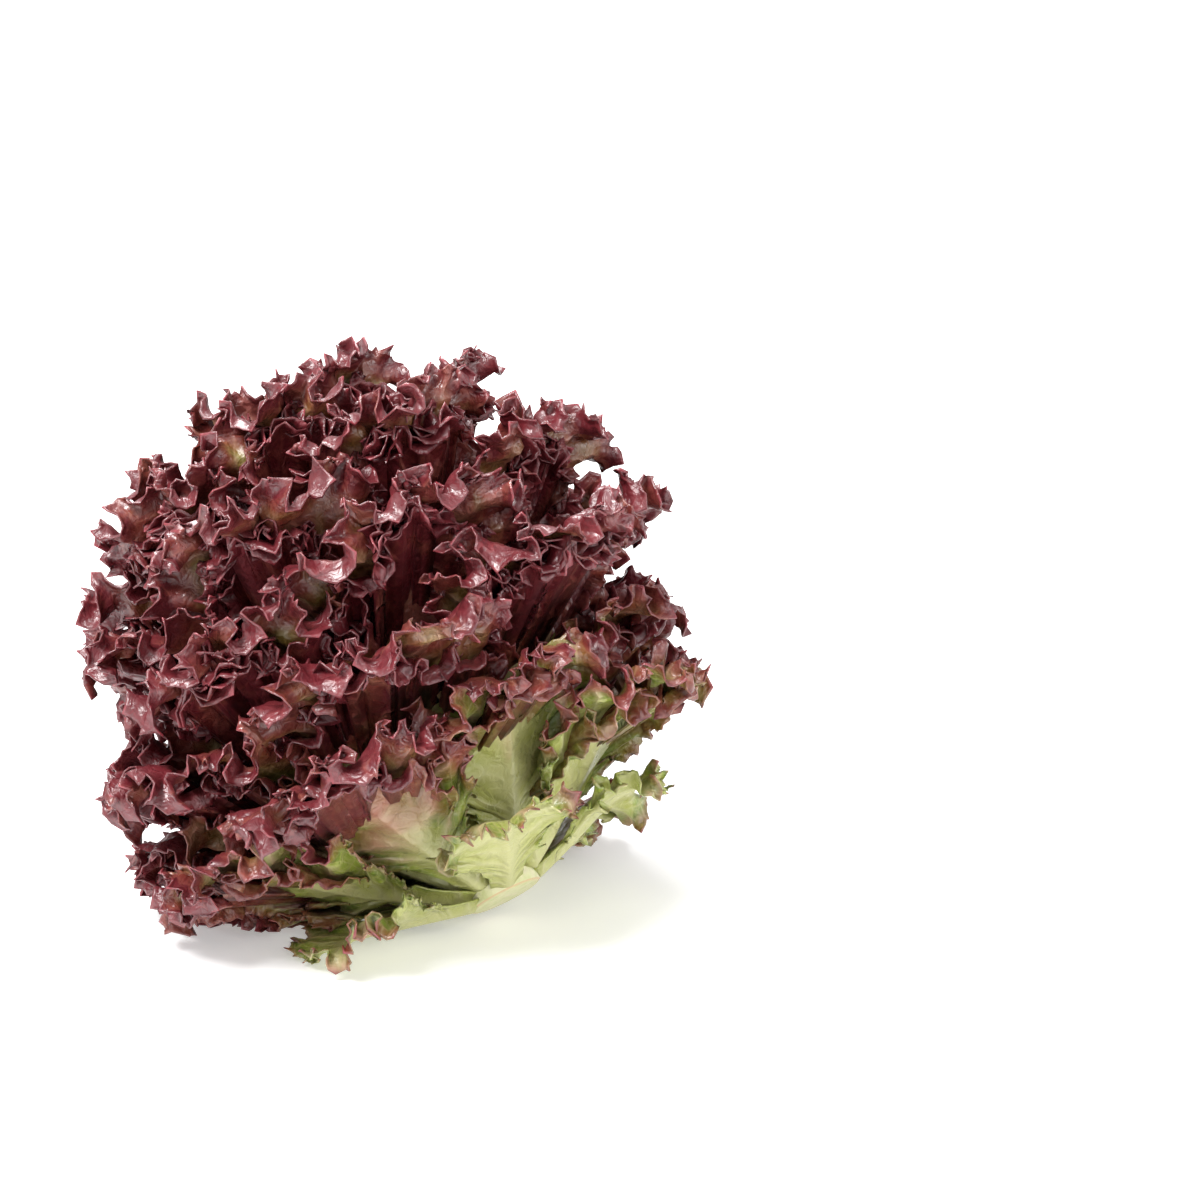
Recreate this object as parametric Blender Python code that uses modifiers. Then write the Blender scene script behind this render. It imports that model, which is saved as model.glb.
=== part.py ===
"""Lollo rosso lettuce: one cut head, lying on its side on a surface.

The head is a short tapering stem with a flat cut face, and separate leaves round it. A point of a leaf has
three head coordinates: its distance from the centre of the cut face, its polar angle off the head's axis, and
its azimuth round that axis, with 0 on the head's upper side. Each leaf lies near one polar angle, so
leaves are nested cones that wave without crossing. Units are metres and degrees, +Z is up.
"""

import math
import random

import bpy
import numpy as np
from mathutils import Matrix, Vector

# Place of the head
AXIS = Vector((-0.45, 0.45, 0.77)).normalized()
BUTT_HEIGHT = 0.0125
REST_DEPTH = 0.0004
PRESS_TOP = 0.011
PRESS_FLOOR = 0.0006

# Stem
CORE_RADIUS = 0.012
CORE_HEIGHT = 0.042
CORE_RIM = 0.0008
CORE_STEPS = 20
CORE_POINTS = 8
ROOT_GAP = 0.0008
ROOT_CLEARANCE = 0.7

# Dome of the leaf tips
DOME_REACH = 0.208
DOME_POWER = 0.72

# Leaf blade
BLADE_THICKNESS = 0.0011
RIB_THICKNESS = 0.0024
OUTER_ROOT_HALF_WIDTH = 0.0065
DOME_ROOT_HALF_WIDTH = 0.0046
WIDEN_START = 0.064
WIDEN_POWER = 1.2
SHOULDER_SHARE = 0.66
TOP_POWER = 3.0
OUTLINE_SAMPLES = 200
LEAST_STRETCH = 0.004
ROOT_SPREAD = 11.0
ROOT_SPREAD_LENGTH = 0.035
TIP_FLARE = 11.5
FLARE_START = 0.62
FLARE_POWER = 0.6
FLARE_LIMIT = 1.2
FOLD_ANGLE = 3.0
FOLD_COUNT = 8
FOLD_PITCH = 0.020
UNDERSIDE_SQUEEZE = 0.16
SQUEEZE_LENGTH = 0.11
RIB_TAPER = 0.75
ROOT_EDGE_RIB = 0.35
ROOT_EDGE_START = 0.7

# Ruffles
WAVE_LENGTH = 0.0235
WAVE_COLUMNS = 4.4
OUTER_WAVE_ANGLE = 2.65
DOME_WAVE_ANGLE = 2.2
HEART_WAVE_ANGLE = 1.2
EDGE_WAVE_GAIN = 1.05
DRIFT = 0.5
DRIFT_TURNS = 2.3
UNEVENNESS = 0.14
UNEVEN_TURNS = 5.1
LOBE_DEPTH = 0.0026
LOBE_POWER = 4
TOOTH_DEPTH = 0.0019
PLAIN_SHARE = 0.16
CALM_START = 0.744
CALM_END = 0.92
RINGS = ((0.38, 0.16), (0.72, 0.45), (1.0, 1.0))
SPINE_SHARES = (0.0, 0.12, 0.28, 0.46, 0.64, 0.8)
VEIN_SLOPE = 0.75

# Leaves placed by hand: name, azimuth, polar angle, reach, half width, droop
OUTER_LEAVES = (
    ("leaf_floor_front", -106.0, 81.2, 0.080, 0.034, 4.0),
    ("leaf_basal_front", -28.0, 73.0, 0.072, 0.026, 0.0),
    ("leaf_basal_right", 60.0, 71.0, 0.070, 0.032, 0.0),
    ("leaf_floor_left", -153.0, 72.8, 0.118, 0.048, 0.0),
    ("leaf_floor_right", 128.0, 73.0, 0.106, 0.046, 0.0),
    ("leaf_floor_back", 176.0, 61.0, 0.124, 0.050, 0.0),
    ("leaf_low_left", -106.0, 64.7, 0.124, 0.040, 0.0),
    ("leaf_under_left", -132.5, 55.0, 0.132, 0.048, 0.0),
    ("leaf_under_back", 150.0, 46.8, 0.136, 0.048, 0.0),
    ("leaf_right", 32.0, 58.5, 0.106, 0.048, 0.0),
    ("leaf_left", -66.0, 57.5, 0.122, 0.048, 0.0),
    ("leaf_high_left", -101.0, 48.8, 0.147, 0.044, 0.0),
    ("leaf_middle", -12.0, 50.0, 0.112, 0.042, 0.0),
    ("leaf_back_right", 98.0, 51.5, 0.116, 0.050, 0.0),
    ("leaf_high_right", 42.0, 46.0, 0.122, 0.050, 0.0),
)
# Leaves placed by the spiral rule
SPIRAL_LEAVES = 28
SPIRAL_START = -45.0
GOLDEN_ANGLE = 137.508
SPIRAL_OUTER = 44.0
SPIRAL_INNER = 4.0
SPIRAL_HALF_WIDTH = 0.062
SPIRAL_FILL = 0.8
HALF_ANGLE = 43.0
HEART_HALF_ANGLE = 62.0
SEED = 11

SHORT_LEAF_COLOUR = (0.34, 0.36, 0.12)
LONG_LEAF_COLOUR = (0.14, 0.018, 0.032)
GREEN_REACH = 0.070
MAROON_REACH = 0.125
CUTTER_DEPTH = 0.03
CUTTER_SPREAD = 1.2

UP_SIDE = (Vector((0, 0, 1)) - AXIS * AXIS.z).normalized()
FAR_SIDE = AXIS.cross(UP_SIDE)


def core_distance(polar):
    """Distance from the cut face's centre to the core's surface at a polar angle in radians."""
    return 1.0 / np.sqrt((np.sin(polar) / CORE_RADIUS) ** 2 + (np.cos(polar) / CORE_HEIGHT) ** 2)


def smooth_step(low, high, value):
    share = np.clip((value - low) / (high - low), 0.0, 1.0)
    return share * share * (3.0 - 2.0 * share)


def press(height):
    """Lift heights near the surface smoothly, so that what would sink lies flat on it."""
    room = PRESS_TOP - PRESS_FLOOR
    pressed = PRESS_FLOOR + room * np.exp((np.minimum(height, PRESS_TOP) - PRESS_TOP) / room)
    return np.where(height < PRESS_TOP, pressed, height)


class Leaf:
    """One leaf: its outline in its own flat plane, its waves, and its place on the head."""

    def __init__(self, name, azimuth, polar, reach, half_width, droop, widest, root_width, wave_angle, seed):
        self.name = name
        self.azimuth = math.radians(azimuth)
        self.polar = math.radians(polar)
        self.reach = reach
        self.half_width = half_width
        self.droop = math.radians(droop)
        self.widest = math.radians(widest)
        self.root_width = root_width
        self.wave_angle = math.radians(wave_angle)
        self.random = random.Random(seed)
        clear = ROOT_CLEARANCE * RIB_THICKNESS / float(core_distance(self.root_polar()))
        self.root = float(core_distance(self.root_polar() - clear)) + ROOT_GAP
        self.length = reach - self.root
        self.trace_outline()
        self.waves = max(3, round(2.0 * self.side * (1.0 - PLAIN_SHARE) / WAVE_LENGTH))
        self.phase = self.random.uniform(0.0, 2.0 * math.pi)
        self.sway = [self.random.uniform(0.0, 2.0 * math.pi) for _ in range(3)]

    def root_polar(self):
        return self.polar + math.radians(ROOT_SPREAD) * math.sin(2.0 * self.polar)

    def trace_outline(self):
        """Half outline from the tip down to the root corner, by its length along the edge."""
        along = np.linspace(0.0, 1.0, OUTLINE_SAMPLES)
        widen = smooth_step(WIDEN_START, SHOULDER_SHARE, along) ** WIDEN_POWER
        width = self.root_width + (self.half_width - self.root_width) * widen
        top = np.clip((along - SHOULDER_SHARE) / (1.0 - SHOULDER_SHARE), 0.0, 1.0)
        width = width * np.sqrt(np.maximum(1.0 - top ** TOP_POWER, 0.0))
        self.outline_x = width[::-1]
        self.outline_y = (along * self.length)[::-1]
        steps = np.hypot(np.diff(self.outline_x), np.diff(self.outline_y))
        run = np.concatenate(([0.0], np.cumsum(steps)))
        self.side = float(run[-1])
        self.outline_q = run / run[-1]
        start = np.clip(self.outline_y - VEIN_SLOPE * self.outline_x, 0.0, SPINE_SHARES[-1] * self.length)
        self.spine_y = np.minimum.accumulate(start)

    def wave(self, theta, share):
        """Ruffle at an edge parameter and a share of the way from rib to edge: angle and growth."""
        q = np.abs(theta)
        strength = 1.0 - smooth_step(CALM_START, CALM_END, q)
        turn = math.pi * self.waves * theta / (1.0 - PLAIN_SHARE) + self.phase
        drift = DRIFT * np.sin(DRIFT_TURNS * math.pi * theta + self.sway[0])
        uneven = 1.0 - UNEVENNESS + UNEVENNESS * np.sin(UNEVEN_TURNS * math.pi * theta + self.sway[1])
        height = np.sin(turn + drift) * uneven * strength * share
        growth = np.cos(2.0 * (turn + drift) + self.sway[2]) * strength * share ** LOBE_POWER
        return height, growth, strength

    def flat_point(self, theta, share, tooth):
        """Point in the leaf's flat plane: across the rib, and along it from the root."""
        q = np.abs(theta)
        edge_x = np.interp(q, self.outline_q, self.outline_x) * np.sign(theta)
        edge_y = np.interp(q, self.outline_q, self.outline_y)
        spine = np.interp(q, self.outline_q, self.spine_y)
        _, growth, strength = self.wave(theta, share)
        stretch = np.hypot(edge_x, edge_y - spine)
        extra = LOBE_DEPTH * growth + tooth * strength
        reach_share = share + extra / np.maximum(stretch, LEAST_STRETCH)
        return edge_x * reach_share, spine + (edge_y - spine) * reach_share

    def place(self, across, along, wave):
        """Point in the world of a flat point that its ruffle lifts."""
        distance = self.root + along
        spread = math.radians(ROOT_SPREAD) * np.exp(-(distance - CORE_RADIUS) / ROOT_SPREAD_LENGTH)
        share = distance / self.reach
        opening = np.clip((share - FLARE_START) / (1 - FLARE_START), 0, FLARE_LIMIT) ** 2
        bend = math.sin(2.0 * self.polar)
        polar = self.polar + spread * bend + math.radians(TIP_FLARE) * opening * bend ** FLARE_POWER
        polar = polar + self.droop * share ** 2
        turn = across / (distance * math.sin(self.polar) * self.widest)
        azimuth = self.azimuth + self.widest * np.tanh(turn)
        fold = np.sin(FOLD_COUNT * azimuth + distance / FOLD_PITCH)
        folded = fold * smooth_step(CORE_HEIGHT, DOME_REACH, distance) * bend
        polar = polar + math.radians(FOLD_ANGLE) * folded
        polar = polar + self.wave_angle * wave * (1.0 + EDGE_WAVE_GAIN * opening)
        under = ((1.0 - np.cos(azimuth)) / 2.0) ** 2
        polar = polar * (1.0 - UNDERSIDE_SQUEEZE * under * smooth_step(CORE_HEIGHT, SQUEEZE_LENGTH, distance))
        outward = np.sin(polar) * distance
        upward = np.cos(polar) * distance
        points = np.outer(upward, AXIS)
        points += np.outer(outward * np.cos(azimuth), UP_SIDE)
        points += np.outer(outward * np.sin(azimuth), FAR_SIDE)
        points[:, 2] = press(points[:, 2] + BUTT_HEIGHT)
        return points

    def ring_thetas(self, density):
        """Edge parameters of one ring of points, closer together where the leaf ruffles."""
        ruffled = 1.0 - PLAIN_SHARE
        count = max(5, round(self.waves * WAVE_COLUMNS * density)) + 1
        middle = np.linspace(-ruffled, ruffled, count)
        return np.concatenate(([-1.0], middle, [1.0]))

    def sheet(self):
        """Open sheet of the leaf: points, triangles and the rib's weight at each point."""
        q_of_spine = [float(np.interp(-share * self.length, -self.spine_y, self.outline_q))
                      for share in SPINE_SHARES]
        thetas = [np.array([-q for q in q_of_spine] + q_of_spine[-2::-1])]
        thetas[0][0], thetas[0][-1] = -1.0, 1.0
        spine = np.array(SPINE_SHARES) * self.length
        points = [self.place(np.zeros(len(spine)), spine, np.zeros(len(spine)))]
        weights = [1.0 - RIB_TAPER * np.array(SPINE_SHARES)]
        index = [list(range(len(spine))) + list(range(len(spine) - 2, -1, -1))]
        total = len(spine)
        for share, density in RINGS:
            theta = self.ring_thetas(density)
            tooth = np.zeros(len(theta))
            if share == 1.0:
                tooth[1:-1] = TOOTH_DEPTH * np.where(np.arange(len(theta) - 2) % 2, 1.0, -1.0)
            across, along = self.flat_point(theta, share, tooth)
            height, _, _ = self.wave(theta, share)
            points.append(self.place(across, along, height))
            near_root = smooth_step(ROOT_EDGE_START, 1.0, np.abs(theta))
            weights.append(ROOT_EDGE_RIB * (1.0 - share) * near_root)
            thetas.append(theta)
            index.append(list(range(total, total + len(theta))))
            total += len(theta)
        faces = []
        for inner in range(len(RINGS)):
            faces += zip_rings(index[inner], thetas[inner], index[inner + 1], thetas[inner + 1])
        return np.concatenate(points), faces, np.concatenate(weights)


def zip_rings(inner, inner_theta, outer, outer_theta):
    """Triangles of the strip between two rings whose points lie at unlike edge parameters."""
    faces = []
    i = j = 0
    while i < len(inner) - 1 or j < len(outer) - 1:
        step_inner = i < len(inner) - 1
        if step_inner and j < len(outer) - 1:
            next_inner = inner_theta[i + 1] + inner_theta[i]
            step_inner = next_inner < outer_theta[j + 1] + outer_theta[j]
        if step_inner:
            faces.append((inner[i], inner[i + 1], outer[j]))
            i += 1
        else:
            faces.append((inner[i], outer[j + 1], outer[j]))
            j += 1
    return faces


def spiral_leaf(number):
    """A leaf of the dome, by the golden angle: the higher its number, the nearer the axis."""
    share = number / (SPIRAL_LEAVES - 1)
    polar = SPIRAL_OUTER + (SPIRAL_INNER - SPIRAL_OUTER) * share
    azimuth = SPIRAL_START + GOLDEN_ANGLE * number
    flare = TIP_FLARE * math.sin(math.radians(2.0 * polar)) ** FLARE_POWER
    reach = DOME_REACH * math.cos(math.radians(polar + flare)) ** DOME_POWER
    widest = HALF_ANGLE + (HEART_HALF_ANGLE - HALF_ANGLE) * share ** 2
    room = reach * math.sin(math.radians(polar)) * math.radians(widest)
    half_width = min(SPIRAL_HALF_WIDTH, SPIRAL_FILL * room)
    wave_angle = DOME_WAVE_ANGLE + (HEART_WAVE_ANGLE - DOME_WAVE_ANGLE) * share
    name = f"leaf_dome_{number + 1:02d}"
    return name, azimuth, polar, reach, half_width, 0.0, widest, DOME_ROOT_HALF_WIDTH, wave_angle


def plant_material(name, colour, roughness):
    """A Principled material of one piece of the plant."""
    material = bpy.data.materials.new(name)
    material.use_nodes = True
    shader = material.node_tree.nodes["Principled BSDF"]
    shader.inputs["Base Color"].default_value = (*colour, 1.0)
    shader.inputs["Roughness"].default_value = roughness
    shader.inputs["Metallic"].default_value = 0.0
    return material


def make_stem(collection, shift):
    """Turned core with a flat cut face, its axis along the head's axis."""
    angles = np.linspace(0.0, math.pi / 2, CORE_POINTS)
    profile = [(CORE_RADIUS * math.sin(a), CORE_HEIGHT * math.cos(a)) for a in angles[:-1]]
    profile += [(CORE_RADIUS, CORE_RIM), (CORE_RADIUS - CORE_RIM, 0.0), (0.0, 0.0)]
    mesh = bpy.data.meshes.new("stem")
    edges = [(i, i + 1) for i in range(len(profile) - 1)]
    mesh.from_pydata([(x, 0.0, z) for x, z in profile], edges, [])
    stem = bpy.data.objects.new("stem", mesh)
    collection.objects.link(stem)
    screw = stem.modifiers.new("Turn", "SCREW")
    screw.axis = "Z"
    screw.steps = CORE_STEPS
    screw.render_steps = CORE_STEPS
    screw.use_merge_vertices = True
    screw.merge_threshold = 0.00001
    screw.use_smooth_shade = True
    turn = Matrix((UP_SIDE, FAR_SIDE, AXIS)).transposed()
    stem.matrix_world = Matrix.Translation(Vector(shift) + Vector((0.0, 0.0, BUTT_HEIGHT))) @ turn.to_4x4()
    mesh.materials.append(plant_material("stem_flesh", (0.72, 0.70, 0.48), 0.55))
    return stem


def make_floor_cutter(collection, width):
    """Block whose top face is the surface that the head lies on."""
    bpy.ops.mesh.primitive_cube_add(size=1.0)
    cutter = bpy.context.object
    cutter.name = "floor_cutter"
    cutter.data.transform(Matrix.Diagonal((width, width, CUTTER_DEPTH, 1.0)))
    cutter.location.z = -CUTTER_DEPTH / 2
    cutter.display_type = "WIRE"
    cutter.hide_render = True
    for owner in list(cutter.users_collection):
        owner.objects.unlink(cutter)
    collection.objects.link(cutter)
    return cutter


def make_leaf(name, sheet, shift, collection, cutter, colour):
    """Leaf object: an open sheet with Solidify, thicker at its rib, and cut flat where it rests."""
    points, faces, weights = sheet
    points = points + np.array(shift)
    mesh = bpy.data.meshes.new(name)
    mesh.from_pydata([tuple(p) for p in points], [], faces)
    mesh.shade_smooth()
    mesh.materials.append(plant_material(name, colour, 0.45))
    piece = bpy.data.objects.new(name, mesh)
    collection.objects.link(piece)
    rib = piece.vertex_groups.new(name="rib")
    for number, weight in enumerate(weights):
        rib.add([number], float(weight), "REPLACE")
    blade = piece.modifiers.new("Blade", "SOLIDIFY")
    blade.thickness = RIB_THICKNESS
    blade.offset = 0.0
    blade.vertex_group = "rib"
    blade.thickness_vertex_group = BLADE_THICKNESS / RIB_THICKNESS
    if points[:, 2].min() < RIB_THICKNESS:
        rest = piece.modifiers.new("Rest", "BOOLEAN")
        rest.operation = "DIFFERENCE"
        rest.solver = "MANIFOLD"
        rest.object = cutter
    return piece


def main():
    for item in list(bpy.data.objects):
        bpy.data.objects.remove(item, do_unlink=True)
    head = bpy.data.collections.new("lollo_rosso_lettuce")
    cutters = bpy.data.collections.new("cutters")
    bpy.context.scene.collection.children.link(head)
    bpy.context.scene.collection.children.link(cutters)
    table = [(*row, HALF_ANGLE, OUTER_ROOT_HALF_WIDTH, OUTER_WAVE_ANGLE) for row in OUTER_LEAVES]
    table += [spiral_leaf(number) for number in range(SPIRAL_LEAVES)]
    leaves = [Leaf(*row, seed=SEED + number) for number, row in enumerate(table)]
    sheets = [leaf.sheet() for leaf in leaves]
    every = np.concatenate([points for points, _, _ in sheets])
    low, high = every.min(axis=0), every.max(axis=0)
    rest_level = low[2] - BLADE_THICKNESS / 2 + REST_DEPTH
    shift = (-(low[0] + high[0]) / 2, -(low[1] + high[1]) / 2, -rest_level)
    cutter = make_floor_cutter(cutters, CUTTER_SPREAD * max(high - low))
    make_stem(head, shift)
    for leaf, sheet in zip(leaves, sheets):
        share = float(smooth_step(GREEN_REACH, MAROON_REACH, leaf.reach))
        colour = [a + (b - a) * share for a, b in zip(SHORT_LEAF_COLOUR, LONG_LEAF_COLOUR)]
        make_leaf(leaf.name, sheet, shift, head, cutter, colour)


main()
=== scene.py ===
import math
import random

import bmesh
import bpy
import numpy as np
from mathutils import Matrix, Vector


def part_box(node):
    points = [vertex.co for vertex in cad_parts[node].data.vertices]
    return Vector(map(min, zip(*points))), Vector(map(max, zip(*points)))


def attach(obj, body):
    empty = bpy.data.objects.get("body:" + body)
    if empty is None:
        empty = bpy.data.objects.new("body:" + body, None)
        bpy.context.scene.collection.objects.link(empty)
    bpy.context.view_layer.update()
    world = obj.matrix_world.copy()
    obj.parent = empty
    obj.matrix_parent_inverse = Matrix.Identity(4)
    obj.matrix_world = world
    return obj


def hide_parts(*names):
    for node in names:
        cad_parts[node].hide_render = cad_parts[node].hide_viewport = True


# The head's own form, in metres and degrees, as the solids have it
AXIS = Vector((-0.45, 0.45, 0.77)).normalized()
BUTT_HEIGHT = 0.0125
PRESS_TOP = 0.011
PRESS_FLOOR = 0.0006
CORE_RADIUS = 0.012
CORE_HEIGHT = 0.042
CORE_RIM = 0.0008
CORE_STEPS = 20
CORE_POINTS = 8
ROOT_GAP = 0.0008
ROOT_CLEARANCE = 0.7
DOME_REACH = 0.208
DOME_POWER = 0.72
RIB_THICKNESS = 0.0024
OUTER_ROOT_HALF_WIDTH = 0.0065
DOME_ROOT_HALF_WIDTH = 0.0046
WIDEN_START = 0.064
WIDEN_POWER = 1.2
SHOULDER_SHARE = 0.66
TOP_POWER = 3.0
OUTLINE_SAMPLES = 200
LEAST_STRETCH = 0.004
ROOT_SPREAD = 11.0
ROOT_SPREAD_LENGTH = 0.035
TIP_FLARE = 11.5
FLARE_START = 0.62
FLARE_POWER = 0.6
FLARE_LIMIT = 1.2
FOLD_ANGLE = 3.0
FOLD_COUNT = 8
FOLD_PITCH = 0.020
UNDERSIDE_SQUEEZE = 0.16
SQUEEZE_LENGTH = 0.11
WAVE_LENGTH = 0.0235
LEAST_WAVES = 3
OUTER_WAVE_ANGLE = 2.65
DOME_WAVE_ANGLE = 2.2
HEART_WAVE_ANGLE = 1.2
EDGE_WAVE_GAIN = 1.05
DRIFT = 0.5
DRIFT_TURNS = 2.3
UNEVENNESS = 0.14
UNEVEN_TURNS = 5.1
LOBE_DEPTH = 0.0026
LOBE_POWER = 4
LOBE_LIMIT = 1.2
PLAIN_SHARE = 0.16
CALM_START = 0.744
CALM_END = 0.92
VEIN_SLOPE = 0.75
SPINE_END = 0.8

# Leaves placed one by one: name, azimuth, polar angle, reach, half width, droop
OUTER_LEAVES = (
    ("leaf_floor_front", -106.0, 81.2, 0.080, 0.034, 4.0),
    ("leaf_basal_front", -28.0, 73.0, 0.072, 0.026, 0.0),
    ("leaf_basal_right", 60.0, 71.0, 0.070, 0.032, 0.0),
    ("leaf_floor_left", -153.0, 72.8, 0.118, 0.048, 0.0),
    ("leaf_floor_right", 128.0, 73.0, 0.106, 0.046, 0.0),
    ("leaf_floor_back", 176.0, 61.0, 0.124, 0.050, 0.0),
    ("leaf_low_left", -106.0, 64.7, 0.124, 0.040, 0.0),
    ("leaf_under_left", -132.5, 55.0, 0.132, 0.048, 0.0),
    ("leaf_under_back", 150.0, 46.8, 0.136, 0.048, 0.0),
    ("leaf_right", 32.0, 58.5, 0.106, 0.048, 0.0),
    ("leaf_left", -66.0, 57.5, 0.122, 0.048, 0.0),
    ("leaf_high_left", -101.0, 48.8, 0.147, 0.044, 0.0),
    ("leaf_middle", -12.0, 50.0, 0.112, 0.042, 0.0),
    ("leaf_back_right", 98.0, 51.5, 0.116, 0.050, 0.0),
    ("leaf_high_right", 42.0, 46.0, 0.122, 0.050, 0.0),
)
# Leaves placed by the spiral rule
SPIRAL_LEAVES = 28
SPIRAL_START = -45.0
GOLDEN_ANGLE = 137.508
SPIRAL_OUTER = 44.0
SPIRAL_INNER = 4.0
SPIRAL_HALF_WIDTH = 0.062
SPIRAL_FILL = 0.8
HALF_ANGLE = 43.0
HEART_HALF_ANGLE = 62.0
SEED = 11
FINE_SEED = 1000

# The frill of the margin: its depth, and how far its cups curl over
FRILL_DEPTH = 0.014
FRILL_GROWTH = 0.0030
FRILL_SHARE = 0.40
MARGIN_PHASE = -math.pi / 2.0
CURL_ANGLE = 78.0
CURL_BIAS = 0.40
CURL_SWING = 0.66
CURL_GAIN = 1.5
CURL_LEAST = 0.02
CURLS_PER_WAVE = 2
CURL_WANDER = 1.1
CURL_WANDER_TURN = 0.7
CURL_LEAN = 0.35
CURL_LEAN_TURN = 0.5
# Curls are weaker where other leaves cover the margin, at these shares of the leaf's reach
FREE_START = 0.50
FREE_END = 0.74
COVERED_CURL = 0.22
COVERED_RIPPLE = 0.4
# Sideways shift of the frill's points, which makes cups wider at the top
WIDEN_STEP = 0.0014
WIDEN_CUP = 0.7
WIDEN_RISE = 1.4
# Lobes, their ripple, and the bays between lobes and between teeth
LOBES_PER_WAVE = 4
TEETH_PER_LOBE = 3
COLUMNS_PER_TOOTH = 3
LOBE_WAVE = 0.0029
LOBE_DRIFT = 1.3
LOBE_FINE_WAVE = 0.5
LOBE_RISE = 1.5
LOBE_BAY = 0.0022
LOBE_BAY_SIZES = (0.35, 1.25)
TOOTH_BAY = 0.0015
TOOTH_BAY_SIZES = (0.4, 1.2)
DEEPEST_BAY = 0.45
ROUNDING = 1e-6
# Small steps, as edge parameters or shares, over which directions on the sheet are taken
WAVE_STEP = 0.004
RIPPLE_STEP = 0.0012
RIPPLE_SHARE_STEP = 0.01
AXIS_WEIGHT = 0.6
# Rows of the sheet: shares of the way to the fold line, then shares of the frill's depth, each
# group with the number of edge columns that one of its columns spans
BLADE_ROWS = (
    ((0.05, 0.14, 0.25, 0.36, 0.46), 6),
    ((0.54, 0.62, 0.70, 0.78, 0.86, 0.93, 1.0), 3),
)
FRILL_ROWS = (
    ((0.14, 0.28, 0.42, 0.56, 0.70, 0.82), 2),
    ((0.92, 1.0), 1),
)
ROOT_COLUMNS = 5
# Leaves shorter than this have their frill die out nearer to the root
SHORT_REACH = 0.126
SHORT_LEAF_CALM = (0.80, 0.87)
# More frills, folded out of a leaf's outer face below its margin: the least reach of leaves that
# have one, how far below the margin's frill it starts, and its rows' spans
FOLDS = (
    (0.104, 0.017, (2, 2, 2, 2, 2, 1, 1)),
    (0.140, 0.033, (4, 4, 3, 3, 2, 2, 1)),
)
FOLDED_DEPTH = 0.016
FOLDED_TILT = 38.0
FOLDED_SINK = 0.0010
FOLDED_START = 0.40
FOLDED_END = 0.54
FOLDED_LEAST = 0.12
FOLDED_LEAST_SHARE = 0.3
FOLDED_PHASE = 0.3
FOLDED_PHASE_STEP = 60.0
FOLDED_ROWS = (0.0, 0.2, 0.4, 0.58, 0.74, 0.88, 1.0)
# The skin's relief: thickness, midrib, blisters, crumples and wrinkles
SPINE_POINTS = 26
BLADE_HALF = 0.00028
RIB_HEIGHT = 0.0026
RIB_INNER_HEIGHT = 0.25
RIB_WIDTH = 0.0042
RIB_TAPER = 0.8
RIB_LEAST_WIDTH = 0.35
BLISTER_SIZE = 0.0070
BLISTER_FINER = 2.1
BLISTER_HEIGHT = 0.0008
BLISTER_SEED = 5
CRUMPLE_SIZE = 0.0115
CRUMPLE_FINER = 1.9
CRUMPLE_SEED = 7
CRUMPLE_CREASE = 2.2
CRUMPLE_SLOPE = 0.0150
CRUMPLE_START = 0.040
CRUMPLE_END = 0.105
CRUMPLE_FRILL_LOSS = 0.55
WRINKLE_SIZE = 0.0042
WRINKLE_FINER = 2.0
WRINKLE_HEIGHT = 0.0007
WRINKLE_SEED = 9
SPINE_CALM = (0.02, 0.2)
ROOT_CALM = (0.0, 0.3)
FINE_WEIGHT = 0.5
NOISE_TABLE = 4096
NOISE_PRIMES = (73856093, 19349663, 83492791)
# Veins, drawn in the skin: widths in metres, weights from 0 to 1
VEINS_PER_SIDE = 8
MAIN_VEIN_WIDTH = 0.0019
BRANCHES_PER_SIDE = 19
BRANCH_SLANT = 5.0
BRANCH_WIDTH = 0.0007
BRANCH_WEIGHTS = (0.55, 0.45)
VEIN_WANDER = 1.1
VEIN_WANDER_SIZE = 0.016
NET_SIZE = 0.0048
NET_TWIST = 0.006
NET_TWIST_SIZE = 0.012
NET_SHARPNESS = 8.0
NET_WEIGHT = 0.28
# The stump: its flesh, cut face and rim
STEM_RADIUS = 0.0138
STEM_CUT = 0.0006
STEM_RIM = 0.0011
STEM_ROWS = 12
STEM_SIDES = 64
STEM_FLUTE = 0.03
STEM_FLUTES = 5.0
STEM_FLUTE_TWIST = 40.0
STEM_FLUTE_RISE = 4.0
RIM_CORNER = 0.4
RIM_FADE = 0.3
CUT_FACE_SHARES = (0.88, 0.6, 0.3, 0.0)
# Room over the surface into which what would sink through it is pressed
FLOOR_ROOM = 0.006
FLOOR_GAP = 0.0005

# How red the skin is, from 0 at the pale root to 1 on the frills
PATCH_SIZES = (0.028, 0.011)
PATCH_SEED = 1
PATCH_SHIFT = 0.010
PATCH_RED = 0.16
REACH_RED = 0.95
RED_START = 0.018
RED_END = 0.135
FRILL_RED = 0.22
SHORT_LEAF_GREEN = 0.28
SHORT_GREEN_REACH = (0.070, 0.120)
TINT_DISTANCE = (0.02, 0.05)
MOST_RED = 1.1
# Share of the frill's depth over which the painted edge glow, light through the thin margin, comes in
EDGE_GLOW_BAND = (0.93, 1.0)
OUTER_FACE_GREEN = 0.28
OUTER_FRILL_LOSS = 0.5
BETWEEN_VEINS = 0.16
MOTTLE_SIZE = 0.018
MOTTLE = (1.10, -0.56)
# Leaves that are redder or greener than most
LEAF_TINTS = {
    "leaf_left": 0.26,
    "leaf_middle": -0.16,
    "leaf_right": -0.10,
    "leaf_high_right": -0.08,
    "leaf_basal_right": -0.10,
    "leaf_floor_front": -0.14,
}
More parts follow.
